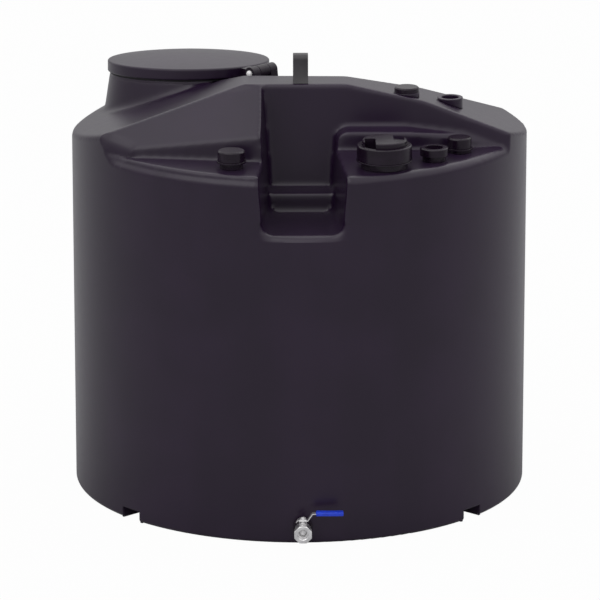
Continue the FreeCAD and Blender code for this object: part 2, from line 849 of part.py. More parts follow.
def inspection_fitting():
    # A wide neck, a screwed ring and a cap with two finger slots
    deck = Vector(0, 0, size("deck_height"))
    neck_top = "inspection_neck_height + inspection_flange_height"
    neck = revolved("inspection_port_neck", [
        ("inspection_bore_across / 2", "0"),
        ("inspection_neck_across / 2", "0"),
        ("inspection_neck_across / 2", "inspection_neck_height"),
        ("inspection_flange_across / 2", "inspection_neck_height"),
        ("inspection_flange_across / 2", neck_top),
        ("inspection_bore_across / 2", neck_top),
    ])
    placed(neck, inspection_port + deck)
    keep(neck, "inspection_port_neck")
    seat = deck + Vector(0, 0, size("inspection_neck_height") + size("inspection_flange_height"))
    inner = "inspection_cap_across / 2 + port_plug_gap"
    outer = "inspection_ring_across / 2"
    ring = revolved("inspection_port_ring", [
        (inner, "0"),
        (outer, "0"),
        (outer, "inspection_ring_height - port_ring_chamfer"),
        (outer + " - port_ring_chamfer", "inspection_ring_height"),
        (inner, "inspection_ring_height"),
    ])
    placed(ring, inspection_port + seat)
    keep(ring, "inspection_port_ring")
    full = "inspection_ring_height + inspection_cap_height"
    edge = "inspection_cap_across / 2"
    disc = revolved("inspection_disc", [
        ("0", "0"),
        (edge, "0"),
        (edge, full + " - port_ring_chamfer"),
        (edge + " - port_ring_chamfer", full),
        ("0", full),
    ])
    slots = []
    for index, turn in enumerate((0, 180)):
        slot = box(
            "finger_slot_%d" % index, "inspection_slot_width",
            "inspection_slot_reach", "inspection_slot_depth * 2",
        )
        facing = FreeCAD.Rotation(upright, turn)
        corner = Vector(
            -size("inspection_slot_across") - size("inspection_slot_width") / 2,
            -size("inspection_cap_across") / 2,
            size("inspection_ring_height") + size("inspection_cap_height") - size("inspection_slot_depth"),
        )
        placed(slot, facing.multVec(corner), facing)
        slots.append(slot)
    cap = cut("inspection_port_cap", disc, fuse("finger_slots", *slots))
    placed(cap, inspection_port + seat)
    keep(cap, "inspection_port_cap")


def roof_fittings():
    # Upright bosses that grow out of the right wing
    roof = document.addObject("Part::Feature", "wing_face")
    roof.Shape = form
    tops = {"cap": size("roof_port_cap_seat"), "open": size("roof_port_open_top")}
    for kind, node in (("cap", "roof_port_boss"), ("open", "roof_port_open_boss")):
        outer = cylinder(node + "_outer", "roof_boss_across / 2", "roof_boss_depth")
        inner = cylinder(node + "_inner", "port_bore_across / 2", "roof_boss_depth")
        ring = cut(node + "_ring", outer, inner)
        placed(ring, roof_ports[kind] + Vector(0, 0, tops[kind] - size("roof_boss_depth")))
        keep(cut(node, ring, roof), node)
    seat = roof_ports["cap"] + Vector(0, 0, tops["cap"])
    port_cap("roof_port_cap", seat, "roof_cap_across", "roof_cap_height")


valve_line = Vector(0, -radius, size("outlet_height"))
valve_centre = valve_line - Vector(0, size("valve_stem_reach"), 0)


def along_outlet(item, reach):
    # Place an upright piece so that it runs forward from a distance in front of the wall
    placed(item, valve_line - Vector(0, reach, 0), towards_front)
    return item


def outlet():
    # A boss seated on the curved wall, and the pipe through it
    depth = size("outlet_boss_length")
    boss = cylinder("boss_round", "outlet_boss_across / 2", "outlet_boss_length * 2")
    along_outlet(boss, -depth)
    hole = cylinder("boss_hole", "outlet_pipe_across / 2", "outlet_pipe_length * 2")
    along_outlet(hole, -size("outlet_pipe_length"))
    drum = cylinder("boss_seat", "tank_diameter / 2", "base_height")
    keep(cut("outlet_boss", cut("boss_bored", boss, hole), drum), "outlet_boss")
    full = "outlet_pipe_inside + valve_stem_reach - valve_back_reach"
    outside = cylinder("pipe_outside", "outlet_pipe_across / 2", full)
    inside = cylinder("pipe_inside", "outlet_pipe_bore / 2", full)
    pipe = cut("outlet_pipe", outside, inside)
    along_outlet(pipe, -size("outlet_pipe_inside"))
    keep(pipe, "outlet_pipe")


def valve_shell():
    # The body with its chamber, stem tower and hexagon, and the octagon end screwed in front
    half = "valve_ball_across / 2"
    reach = size("valve_stem_reach")
    back = size("valve_back_reach")
    drum = cylinder("valve_drum", "valve_body_across / 2", "2 * " + half)
    along_outlet(drum, reach - size("valve_ball_across") / 2)
    hexagon = document.addObject("Part::Prism", "valve_hexagon")
    hexagon.Polygon = 6
    bind(hexagon, Circumradius="valve_hex_across / 2 / cos(30)", Height="valve_hex_length")
    along_outlet(hexagon, reach - size("valve_ball_across") / 2 - size("valve_hex_length"))
    tower = cylinder("valve_tower", "valve_tower_across / 2", "valve_tower_top")
    placed(tower, valve_centre)
    chamber = cylinder(
        "valve_chamber", half + " + valve_ball_gap", half + " + valve_seat_depth"
    )
    along_outlet(chamber, reach - size("valve_seat_depth"))
    bore_item = cylinder("valve_bore", "outlet_pipe_bore / 2", "outlet_pipe_length * 2")
    along_outlet(bore_item, 0)
    socket = cylinder("valve_socket", "outlet_pipe_across / 2", "outlet_pipe_length")
    along_outlet(socket, reach - back - size("outlet_pipe_length"))
    stem_hole = cylinder("stem_hole", "stem_across / 2 + hinge_running_gap", "valve_tower_top * 2")
    placed(stem_hole, valve_centre)
    hollow = fuse("valve_hollow", chamber, bore_item, socket, stem_hole)
    body = cut("valve_body", fuse("valve_solid", drum, hexagon, tower), hollow)
    keep(body, "valve_body")
    octagon = document.addObject("Part::Prism", "valve_octagon")
    octagon.Polygon = 8
    bind(octagon, Circumradius="valve_end_across / 2 / cos(22.5)", Height="valve_end_length")
    along_outlet(octagon, reach + size("valve_ball_across") / 2)
    octagon.Placement.Rotation = towards_front.multiply(FreeCAD.Rotation(upright, 22.5))
    inside = cylinder("end_bore", "outlet_pipe_bore / 2", "outlet_pipe_length * 2")
    along_outlet(inside, 0)
    thread = cylinder("end_thread", "valve_thread_across / 2", "valve_thread_depth")
    front = reach + size("valve_ball_across") / 2 + size("valve_end_length")
    along_outlet(thread, front - size("valve_thread_depth"))
    turned = revolved("end_turned", [
        ("0", "0"),
        ("valve_end_across * 0.6", "0"),
        ("valve_end_across * 0.6", "valve_end_length - valve_end_chamfer"),
        ("valve_end_across / 2 - valve_end_chamfer / 4", "valve_end_length"),
        ("0", "valve_end_length"),
    ])
    along_outlet(turned, reach + size("valve_ball_across") / 2)
    mouth = document.addObject("Part::Cone", "end_mouth")
    bind(mouth, Radius1="valve_thread_across / 2", Radius2="valve_thread_across / 2 + valve_mouth_chamfer",
         Height="valve_mouth_chamfer")
    along_outlet(mouth, front - size("valve_mouth_chamfer"))
    hollow = fuse("end_hollow", inside, thread, mouth)
    keep(cut("valve_end", common("end_shaped", octagon, turned), hollow), "valve_end")


def valve_inside():
    # The ball on its stem between two ring seats
    ball = document.addObject("Part::Sphere", "ball_round")
    bind(ball, Radius="valve_ball_across / 2")
    placed(ball, valve_centre, towards_right)
    through = cylinder("ball_bore", "outlet_pipe_bore / 2", "valve_ball_across * 2")
    placed(through, valve_centre - Vector(size("valve_ball_across"), 0, 0), towards_right)
    stem = cylinder("stem_round", "stem_across / 2", "stem_top")
    placed(stem, valve_centre)
    keep(cut("valve_stem", stem, ball), "valve_stem")
    keep(cut("valve_ball", ball, through), "valve_ball")
    shell = document.addObject("Part::Sphere", "seat_hollow")
    bind(shell, Radius="valve_ball_across / 2 + valve_seat_gap")
    placed(shell, valve_centre)
    seat_depth = size("valve_seat_depth")
    for name, start in (("back", -seat_depth), ("front", size("valve_seat_start"))):
        outer = cylinder(
            "seat_outer_" + name, "valve_ball_across / 2", "valve_seat_depth - valve_seat_start"
        )
        inner = cylinder("seat_inner_" + name, "outlet_pipe_bore / 2", "valve_seat_depth")
        ring = cut("seat_ring_" + name, outer, inner)
        along_outlet(ring, size("valve_stem_reach") + start)
        keep(cut("valve_seat_" + name, ring, shell), "valve_seat_" + name)


def hexagon_nut(node, across, height, hole, level):
    solid = document.addObject("Part::Prism", node + "_solid")
    solid.Polygon = 6
    bind(solid, Circumradius=across + " / 2 / cos(30)", Height=height)
    inside = cylinder(node + "_hole", hole, height)
    nut = cut(node, solid, inside)
    placed(nut, valve_centre + Vector(0, 0, level))
    keep(nut, node)


def valve_handle():
    # A cranked steel lever with a plastic sleeve, a lock plate and a nut
    seat = "lever_seat"
    top = "lever_seat + lever_thickness"
    lever = padded("lever_plate", "XZ_Plane", [
        ("-lever_hub", seat),
        ("lever_bend_start", seat),
        ("lever_bend_end", "lever_seat + lever_rise"),
        ("lever_length", "lever_seat + lever_rise"),
        ("lever_length", "lever_seat + lever_rise + lever_thickness"),
        ("lever_bend_end - lever_thickness / 2", "lever_seat + lever_rise + lever_thickness"),
        ("lever_bend_start - lever_thickness / 2", top),
        ("-lever_hub", top),
    ], "lever_width", midplane=True)
    hole = cylinder("lever_hole", "stem_across / 2 + lever_stem_gap", "stem_top * 2")
    flat = cut("valve_lever", lever, hole)
    placed(flat, valve_centre)
    keep(flat, "valve_lever")
    lock = padded("lock_strip", "XZ_Plane", [
        ("-lever_hub - lock_thickness / 2", top),
        ("lever_hub - lock_thickness", top),
        ("lever_hub - lock_thickness", top + " + lock_thickness"),
        ("-lever_hub - lock_thickness", top + " + lock_thickness"),
        ("-lock_tail_length", top + " - lock_tail_drop"),
        ("-lock_tail_length + lock_thickness", top + " - lock_tail_drop"),
    ], "lock_width", midplane=True)
    lock_hole = cylinder("lock_hole", "stem_across / 2 + lever_stem_gap", "stem_top * 2")
    plate = cut("lock_plate", lock, lock_hole)
    placed(plate, valve_centre)
    keep(plate, "lock_plate")
    grip = box("sleeve_block", "sleeve_length", "sleeve_width", "sleeve_height")
    document.recompute()
    soft = document.addObject("Part::Fillet", "sleeve_soft")
    soft.Base = grip
    amount = size("sleeve_height") / 4
    soft.Edges = [(number + 1, amount, amount) for number in range(12)]
    level = size("lever_seat") + size("lever_rise") + size("lever_thickness") / 2
    slot = box("sleeve_slot", "lever_length", "lever_width", "lever_thickness")
    placed(slot, Vector(
        size("sleeve_start") * -1,
        (size("sleeve_width") - size("lever_width")) / 2,
        (size("sleeve_height") - size("lever_thickness")) / 2,
    ))
    sleeve = cut("lever_sleeve", soft, slot)
    placed(sleeve, valve_centre + Vector(
        size("sleeve_start"), -size("sleeve_width") / 2, level - size("sleeve_height") / 2
    ))
    keep(sleeve, "lever_sleeve")
    clear = "stem_across / 2 + hinge_running_gap"
    hexagon_nut("gland_nut", "gland_across", "gland_height", clear, size("valve_tower_top"))
    level = size("lever_seat") + size("lever_thickness") + size("lock_thickness")
    close = "stem_across / 2 + lever_stem_gap"
    hexagon_nut("lever_nut", "lever_nut_across", "lever_nut_height", close, level)


tank_base()
tank_wall()
tank_top()
manway_neck()
lid = manway_lid()
lid_arm(lid, hinge())
lifting_lug()
deck_fittings()
inspection_fitting()
roof_fittings()
outlet()
valve_shell()
valve_inside()
valve_handle()
document.recompute()
faults = [item.Name for item in document.Objects if {"Invalid", "Error"} & set(item.State)]
if faults:
    raise RuntimeError("failed: " + ", ".join(faults))
os.makedirs("parts", exist_ok=True)
for item in pieces:
    if item.Shape.isNull() or not item.Shape.isValid():
        raise RuntimeError("bad shape: " + item.Label)
    item.Shape.exportStep("parts/%s.step" % item.Label)
    print(item.Label, len(item.Shape.Solids), round(item.Shape.Volume / 1e3, 1))
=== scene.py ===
import json
import math

import bmesh
import bpy
from mathutils import Matrix, Vector


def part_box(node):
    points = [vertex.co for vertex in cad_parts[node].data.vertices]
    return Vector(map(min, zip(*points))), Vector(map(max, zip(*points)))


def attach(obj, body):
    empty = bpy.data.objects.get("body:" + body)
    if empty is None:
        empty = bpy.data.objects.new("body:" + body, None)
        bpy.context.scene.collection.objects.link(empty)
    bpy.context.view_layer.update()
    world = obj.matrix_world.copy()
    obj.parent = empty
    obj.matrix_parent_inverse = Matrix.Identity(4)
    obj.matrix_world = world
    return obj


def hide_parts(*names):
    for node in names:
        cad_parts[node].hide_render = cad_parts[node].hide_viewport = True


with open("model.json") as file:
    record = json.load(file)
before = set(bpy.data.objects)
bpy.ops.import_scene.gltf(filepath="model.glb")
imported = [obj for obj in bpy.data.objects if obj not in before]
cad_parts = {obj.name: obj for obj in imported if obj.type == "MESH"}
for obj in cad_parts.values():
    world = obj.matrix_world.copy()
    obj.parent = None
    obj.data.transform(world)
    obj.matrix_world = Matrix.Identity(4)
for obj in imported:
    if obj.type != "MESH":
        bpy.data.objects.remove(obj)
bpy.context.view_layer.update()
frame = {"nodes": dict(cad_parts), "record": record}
bodies = frame["record"]["behaviour"]["bodies"]
bodyOf = {node: body for body, nodes in bodies.items() for node in nodes}


class Wire:
    # One socket of a material, on which sums are written as plain Python.
    def __init__(self, recipe, socket):
        self.recipe = recipe
        self.socket = socket

    def sum(self, operation, *terms):
        return self.recipe.node("ShaderNodeMath", {"operation": operation}, dict(enumerate(terms)))

    def __add__(self, other):
        return self.sum("ADD", self, other)

    def __radd__(self, other):
        return self.sum("ADD", other, self)

    def __sub__(self, other):
        return self.sum("SUBTRACT", self, other)

    def __rsub__(self, other):
        return self.sum("SUBTRACT", other, self)

    def __mul__(self, other):
        return self.sum("MULTIPLY", self, other)

    def __rmul__(self, other):
        return self.sum("MULTIPLY", other, self)

    def ramp(self, low, high):
        inputs = {"Value": self, "From Min": low, "From Max": high}
        return self.recipe.node("ShaderNodeMapRange", {"interpolation_type": "SMOOTHSTEP"}, inputs)


class Bench:
    # A node tree whose nodes all come from one method.
    def __init__(self, tree):
        self.tree = tree

    def feed(self, socket, value):
        if isinstance(value, Wire):
            self.tree.links.new(value.socket, socket)
        else:
            socket.default_value = value

    def node(self, kind, settings=None, inputs=None, output=0):
        made = self.tree.nodes.new(kind)
        for name, value in (settings or {}).items():
            setattr(made, name, value)
        for name, value in (inputs or {}).items():
            self.feed(made.inputs[name], value)
        return Wire(self, made.outputs[output])


class Recipe(Bench):
    # A material, painted through the sockets of its one shader.
    def __init__(self, name, **plain):
        self.material = bpy.data.materials.new(name)
        self.material.use_nodes = True
        super().__init__(self.material.node_tree)
        self.shader = self.tree.nodes["Principled BSDF"]
        self.place = self.node("ShaderNodeTexCoord", output="Object")
        self.paint(**plain)

    def axis(self, letter):
        return self.node("ShaderNodeSeparateXYZ", None, {"Vector": self.place}, letter)

    def stretched(self, x, y, z):
        return self.node("ShaderNodeMapping", None, {"Vector": self.place, "Scale": (x, y, z)})

    def noise(self, scale, detail=3.0, roughness=0.5, place=None):
        inputs = {"Vector": place or self.place, "Scale": scale}
        inputs.update({"Detail": detail, "Roughness": roughness})
        return self.node("ShaderNodeTexNoise", None, inputs)

    def blend(self, factor, first, second):
        # The colour sockets of a Mix node are its inputs 6 and 7 and its output 2
        shades = [(*shade, 1) if isinstance(shade, tuple) else shade for shade in (first, second)]
        inputs = {0: factor, 6: shades[0], 7: shades[1]}
        return self.node("ShaderNodeMix", {"data_type": "RGBA"}, inputs, 2)

    def bump(self, height, distance, strength, normal=None):
        inputs = {"Height": height, "Distance": distance, "Strength": strength}
        if normal:
            inputs["Normal"] = normal
        return self.node("ShaderNodeBump", None, inputs)

    def paint(self, **wires):
        for socket, wire in wires.items():
            self.feed(self.shader.inputs[socket.replace("_", " ")], wire)
        return self.material


# Moulded polyethylene of the tank: nearly black, faintly purple, satin, with a fine skin
plastic = {
    "dark": (0.0125, 0.0050, 0.0185),
    "light": (0.0175, 0.0075, 0.0250),
    "bandScale": 2.2,
    "bandStretch": 0.06,
    "bandShare": 0.6,
    "cloudScale": 5.0,
    "cloudShare": 0.4,
    "mix": (0.38, 0.62),
    "shine": 0.42,
    "roughness": 0.30,
    "spread": 0.05,
    "wearScale": 38.0,
    "wear": 0.05,
    "skinScale": 260.0,
    "skinHeight": 0.00012,
    "skinStrength": 0.6,
    "cornerRadius": 0.007,
    "cornerSamples": 6,
}


def mouldedPlastic(name, corners=None):
    # Corners, where given, are the two heights between which the edges go from plain to rounded
    recipe = Recipe(name, Specular_IOR_Level=plastic["shine"])
    upright = recipe.stretched(1.0, 1.0, plastic["bandStretch"])
    bands = recipe.noise(plastic["bandScale"], 4.0, 0.6, upright)
    cloud = recipe.noise(plastic["cloudScale"])
    mixed = (bands * plastic["bandShare"] + cloud * plastic["cloudShare"]).ramp(*plastic["mix"])
    wear = recipe.noise(plastic["wearScale"], 4.0)
    rough = plastic["roughness"] + (cloud - 0.5) * plastic["spread"] + (wear - 0.5) * plastic["wear"]
    normal = None
    if corners:
        radius = {"Radius": plastic["cornerRadius"]}
        rounded = recipe.node("ShaderNodeBevel", {"samples": plastic["cornerSamples"]}, radius)
        plain = recipe.node("ShaderNodeNewGeometry", output="Normal")
        normal = recipe.blend(recipe.axis("Z").ramp(*corners), plain, rounded)
    skin = recipe.noise(plastic["skinScale"], 2.0)
    bumped = recipe.bump(skin, plastic["skinHeight"], plastic["skinStrength"], normal)
    shade = recipe.blend(mixed, plastic["dark"], plastic["light"])
    return recipe.paint(Base_Color=shade, Roughness=rough, Normal=bumped)


# Injection-moulded fittings, a little blacker and smoother than the shell
fitting = {
    "dark": (0.0090, 0.0040, 0.0110),
    "light": (0.0130, 0.0065, 0.0160),
    "cloudScale": 24.0,
    "mix": (0.35, 0.65),
    "shine": 0.30,
    "roughness": 0.24,
    "spread": 0.08,
    "skinScale": 420.0,
    "skinHeight": 0.00006,
    "skinStrength": 0.5,
}


def fittingPlastic(name):
    recipe = Recipe(name, Specular_IOR_Level=fitting["shine"])
    cloud = recipe.noise(fitting["cloudScale"])
    shade = recipe.blend(cloud.ramp(*fitting["mix"]), fitting["dark"], fitting["light"])
    rough = fitting["roughness"] + (cloud - 0.5) * fitting["spread"]
    skin = recipe.noise(fitting["skinScale"], 2.0)
    bumped = recipe.bump(skin, fitting["skinHeight"], fitting["skinStrength"])
    return recipe.paint(Base_Color=shade, Roughness=rough, Normal=bumped)


# Stainless steel of the valve
steel = {
    "bright": (0.97, 0.96, 0.97),
    "darkShare": 0.82,
    "cloudScale": 60.0,
    "roughness": 0.38,
    "spread": 0.12,
    "grain": 900.0,
}
# What steel and the plain coats share: how sharply two shades part, and how deep the grain is
finish = {"mix": (0.3, 0.7), "grainHeight": 0.00005, "grainStrength": 0.4}


def clouded(recipe, dark, light, roughness, spread, scale, grain):
    cloud = recipe.noise(scale)
    shade = recipe.blend(cloud.ramp(*finish["mix"]), dark, light)
    bumped = recipe.bump(recipe.noise(grain, 2.0), finish["grainHeight"], finish["grainStrength"])
    return recipe.paint(Base_Color=shade, Roughness=roughness + (cloud - 0.5) * spread, Normal=bumped)


def castSteel(name):
    darker = tuple(steel["darkShare"] * part for part in steel["bright"])
    return clouded(Recipe(name, Metallic=1.0), darker, steel["bright"], steel["roughness"],
                   steel["spread"], steel["cloudScale"], steel["grain"])


def plainCoat(name, dark, light, roughness, scale):
    recipe = Recipe(name, Specular_IOR_Level=0.5)
    return clouded(recipe, dark, light, roughness, 0.1, scale, 9.0 * scale)


materials = {
    "wall": mouldedPlastic("tankWallPlastic"),
    "shell": mouldedPlastic("tankShellPlastic", (0.93, 0.95)),
    "base": mouldedPlastic("tankBasePlastic", (0.12, 0.10)),
    "fitting": fittingPlastic("fittingPlastic"),
    "steel": castSteel("valveSteel"),
}
# Each coat: its name, darker and lighter shade, roughness and cloud scale
coats = {
    "rubber": ("gasketRubber", (0.006, 0.006, 0.0065), (0.011, 0.011, 0.0115), 0.6, 40.0),
    "pin": ("pinZinc", (0.82, 0.81, 0.81), (0.90, 0.89, 0.89), 0.3, 60.0),
    # The lifting lug is moulded in one with the shell. Its lighter, greyer coat is painted light that stands in for
    # the light its front face catches.
    "lug": ("lugPaintedLightPlastic", (0.026, 0.023, 0.027), (0.036, 0.032, 0.037), 0.4, 24.0),
    "sleeve": ("sleeveVinyl", (0.009, 0.040, 0.54), (0.014, 0.058, 0.70), 0.32, 60.0),
    "seat": ("seatPlastic", (0.75, 0.75, 0.74), (0.85, 0.85, 0.84), 0.35, 60.0),
}
for key, coat in coats.items():
    materials[key] = plainCoat(*coat)
slotOf = {"moulded_plastic": "shell", "black_fitting": "fitting", "seal_rubber": "rubber",
          "stainless_steel": "steel", "pin_steel": "pin", "blue_sleeve": "sleeve", "seat_plastic": "seat"}
print("materials ready")


def merged(name, flat=0.4):
    # A copy of a CAD solid with its loose triangles joined and its flat faces made whole
    shape = bmesh.new()
    shape.from_mesh(frame["nodes"][name].data)
    bmesh.ops.remove_doubles(shape, verts=shape.verts, dist=2e-6)
    limit = math.radians(flat)
    bmesh.ops.dissolve_limit(shape, angle_limit=limit, verts=shape.verts, edges=shape.edges)
    return shape


def finished(name, shape, material, body, angle=30.0):
    # Turn a bmesh into a piece at the origin, with sharp edges only past an angle
    for face in shape.faces:
        face.smooth = True
    limit = math.radians(angle)
    for edge in shape.edges:
        edge.smooth = len(edge.link_faces) == 2 and edge.calc_face_angle(math.pi) < limit
    mesh = bpy.data.meshes.new(name)
    shape.to_mesh(mesh)
    shape.free()
    piece = bpy.data.objects.new(name, mesh)
    bpy.context.collection.objects.link(piece)
    mesh.materials.append(materials[material])
    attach(piece, body)
    return piece


def softened(piece, width):
    bevel = piece.modifiers.new("softEdges", "BEVEL")
    bevel.width = width
    bevel.segments = 2
    bevel.limit_method = "ANGLE"
    bevel.angle_limit = math.radians(30.0)
    bevel.miter_outer = "MITER_ARC"
    bevel.harden_normals = True


def weighted(piece):
    evened = piece.modifiers.new("evenNormals", "WEIGHTED_NORMAL")
    evened.keep_sharp = True
    evened.weight = 60


recordSlots = {part["node"]: part["material_slot"] for part in frame["record"]["subparts"]}
for name, node in frame["nodes"].items():
    for slot in node.material_slots:
        slot.material = materials[slotOf[recordSlots[name]]]

# The lifting lug takes the lighter coat, which paints light onto it; the base takes its own moulded finish
ownFinish = {"tank_base": "base", "lifting_lug": "lug"}


def dressed(name, width):
    # A clean copy of a CAD solid that stands for it
    material = ownFinish.get(name, slotOf[recordSlots[name]])
    piece = finished(name + ".skin", merged(name), material, bodyOf[name])
    if width:
        softened(piece, width)
    else:
        weighted(piece)
    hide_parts(name)


# How wide each piece's edges are rounded; where it is 0 the CAD's own rounds are enough
edgeWidths = {
    "left_port_neck": 0.001, "left_port_cap": 0.0015,
    "right_port_neck": 0.001, "right_port_cap": 0.0015,
    "open_port_neck": 0.0012, "inspection_port_neck": 0.0012,
    "inspection_port_ring": 0.0016, "inspection_port_cap": 0.0016,
    "roof_port_boss": 0.0012, "roof_port_open_boss": 0.0014, "roof_port_cap": 0.0015,
    "outlet_boss": 0.001, "outlet_pipe": 0.0006,
    "valve_body": 0.0008, "valve_end": 0.0008, "valve_stem": 0.0004,
    "valve_lever": 0.0005, "lock_plate": 0.0003, "lever_sleeve": 0.002,
    "gland_nut": 0.0005, "lever_nut": 0.0005,
    "hinge_bracket": 0.0016, "hinge_lid_arm": 0.0016, "hinge_pin": 0.001,
    "lifting_lug": 0.004,
    "tank_base": 0.0, "manway_lid": 0.0, "manway_neck": 0.0,
}
for name, width in edgeWidths.items():
    dressed(name, width)
print("fittings ready")

# The six wall segments show as one seamless band, which also covers the skirt of the roof
wallBand = {
    "radius": 0.750,
    "thickness": 0.008,
    "bottom": 0.160,
    "seam": 0.900,
    "top": 1.000,
    "lip": 0.001,
    "steps": 192,
}


def wallRing():
    shape = bmesh.new()
    outer = wallBand["radius"]
    inner = outer - wallBand["thickness"]
    low, top = wallBand["bottom"], wallBand["top"]
    profile = [(outer, low), (outer, top), (outer - wallBand["lip"], top), (inner, wallBand["seam"]), (inner, low)]
    points = [shape.verts.new((distance, 0, height)) for distance, height in profile]
    edges = [shape.edges.new((points[index - 1], points[index])) for index in range(len(points))]
    bmesh.ops.spin(shape, geom=points + edges, cent=(0, 0, 0), axis=(0, 0, 1), dvec=(0, 0, 0),
                   angle=2 * math.pi, steps=wallBand["steps"], use_merge=True, use_duplicate=False)
    bmesh.ops.remove_doubles(shape, verts=shape.verts, dist=1e-6)
    bmesh.ops.recalc_face_normals(shape, faces=shape.faces)
    return shape


wall = finished("tankWall", wallRing(), "wall", "tank", 40.0)
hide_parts(*["tank_wall_%d" % number for number in range(1, 7)])
print("wall ready")

# The roof: the outside of the CAD shell is remeshed and relaxed, so that every edge
# is as soft as a rotational moulding leaves it. Its inside and its bores stay as they are.
roof = {
    "cell": 0.0061,
    "relaxing": 5,
    "hollow": 0.00078,
    "skirt": 1.000,
    "skirtMargin": 0.03,
    "roundWithin": 0.0008,
    "ports": {"left_port_neck": 0.0285, "right_port_neck": 0.0285, "open_port_neck": 0.0285,
              "inspection_port_neck": 0.065, "roof_port_boss": 0.0285, "roof_port_open_boss": 0.0285},
    "portsAbove": 1.1,
    "portMargin": 0.003,
    "manwayRim": 0.275,
}
# How the faces of the CAD roof are told apart: those on its seam, in a port and in the manway
telling = {"seamWithin": 0.0005, "seamFacing": -0.9, "portWalls": 0.3, "portSlack": 1.03, "manwayWalls": 0.4}

# The turret that the lid closes is moulded in one with the roof, with a soft foot
turret = {
    "seat": (-0.367, 0.262, 1.326),
    "lean": 5.5,
    "topRadius": 0.2626,
    "baseRadius": 0.2856,
    "depth": 0.150,
    "clear": 0.004,
    "mouthDepth": 0.04,
    "mouthMargin": 0.01,
    "segments": 128,
    "footBelow": 0.1,
    "footNear": 0.02,
    "footHollow": 0.0003,
    "footRings": 5,
    "footRelaxing": 22,
}
turretLean = Matrix.Rotation(math.radians(-turret["lean"]), 4, "X")
turretPlace = Matrix.Translation(turret["seat"]) @ turretLean
fromTurret = turretPlace.inverted()


def relax(skin, verts, turns=1):
    for turn in range(turns):
        bmesh.ops.smooth_vert(skin, verts=verts, factor=0.5, use_axis_x=True, use_axis_y=True, use_axis_z=True)


def addTurret(shape):
    # A closed cone that the remesh melts into the roof
    down = Matrix.Translation((0, 0, -turret["depth"] / 2))
    bmesh.ops.create_cone(shape, cap_ends=True, cap_tris=False, segments=turret["segments"],
                          radius1=turret["baseRadius"], radius2=turret["topRadius"],
                          depth=turret["depth"], matrix=turretPlace @ down)


def openTurret(skin):
    # Take the skin off the turret's mouth, a little below the seat
    level = -turret["clear"]
    above = turretPlace @ Vector((0, 0, level))
    axis = turretPlace.to_3x3() @ Vector((0, 0, 1))
    ring = []
    for face in skin.faces:
        local = fromTurret @ face.calc_center_median()
        if local.z > level - turret["mouthDepth"] and local.xy.length < turret["baseRadius"] + turret["mouthMargin"]:
            ring.append(face)
    parts = list({item for face in ring for item in (*face.verts, *face.edges)}) + ring
    bmesh.ops.bisect_plane(skin, geom=parts, plane_co=above, plane_no=axis, clear_outer=True)


def hollowness(vert):
    # How far a point lies below the middle of its neighbours
    around = [edge.other_vert(vert).co for edge in vert.link_edges]
    return (sum(around, Vector()) / len(around) - vert.co).dot(vert.normal)


def softenFoot(skin):
    # Run a wide fillet round the foot of the turret
    skin.normal_update()
    foot = set()
    for vert in skin.verts:
        local = fromTurret @ vert.co
        share = -local.z / turret["depth"]
        around = turret["topRadius"] + share * (turret["baseRadius"] - turret["topRadius"])
        near = turret["footBelow"] < share < 1.0 and abs(local.xy.length - around) < turret["footNear"]
        if near and hollowness(vert) > turret["footHollow"]:
            foot.add(vert)
    for ring in range(turret["footRings"]):
        foot |= {edge.other_vert(vert) for vert in foot for edge in vert.link_edges}
    relax(skin, list(foot), turret["footRelaxing"])


# The tip of the left-hand deck, which runs out to a point at the wall
tip = {
    "wall": [(-0.629, -0.404, 1.2), (-0.543, -0.462, 1.2), (-0.543, -0.462, 1.3)],
    "face": [(-0.642, -0.390, 1.2585), (-0.608, -0.4185, 1.2255), (-0.543, -0.460, 1.2445)],
    "side": -0.53,
    "front": -0.34,
    "deck": 1.210,
    "fold": [(-0.628, -0.400, 1.2555), (-0.560, -0.448, 1.2475)],
    "foldWidth": 0.028,
    "foldRelaxing": 60,
}


def carveTip(skin):
    # Press the skin back to the wall and the leaning face, and down to the deck
    planes = {}
    for name in ("wall", "face"):
        first, second, third = [Vector(place) for place in tip[name]]
        normal = (second - first).cross(third - first).normalized()
        planes[name] = (first, normal if normal.y < 0 else -normal)
    for vert in skin.verts:
        place = vert.co
        if place.x > tip["side"] or place.y > tip["front"] or place.z < tip["deck"]:
            continue
        point, normal = planes["face"]
        proud = (place - point).dot(normal)
        if proud > 0:
            vert.co -= proud * normal
        point, normal = planes["wall"]
        proud = (place - point).dot(normal)
        if 0 < proud < place.z - tip["deck"]:
            vert.co -= proud * normal
        elif proud > 0:
            vert.co.z = tip["deck"]


def softenTip(skin):
    # Turn the fold at the tip of the leaning face into a gentle curve
    start, end = [Vector(place) for place in tip["fold"]]
    run = end - start
    near = []
    for vert in skin.verts:
        share = max(0.0, min(1.0, (vert.co - start).dot(run) / run.length_squared))
        if (start + share * run - vert.co).length < tip["foldWidth"]:
            near.append(vert)
    relax(skin, near, tip["foldRelaxing"])


# The rolled edge of the well's mouth
lip = {"across": 0.150, "low": 1.004, "high": 1.062, "out": 0.728, "relaxing": 40}


def softenLip(skin):
    near = [vert for vert in skin.verts if abs(vert.co.x) < lip["across"] and vert.co.y < 0
            and lip["low"] < vert.co.z < lip["high"] and vert.co.xy.length > lip["out"]]
    relax(skin, near, lip["relaxing"])


def openings():
    places = []
    for node, bore in roof["ports"].items():
        low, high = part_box(node)
        places.append((Vector(((low[0] + high[0]) / 2, (low[1] + high[1]) / 2, 0)), bore))
    return places


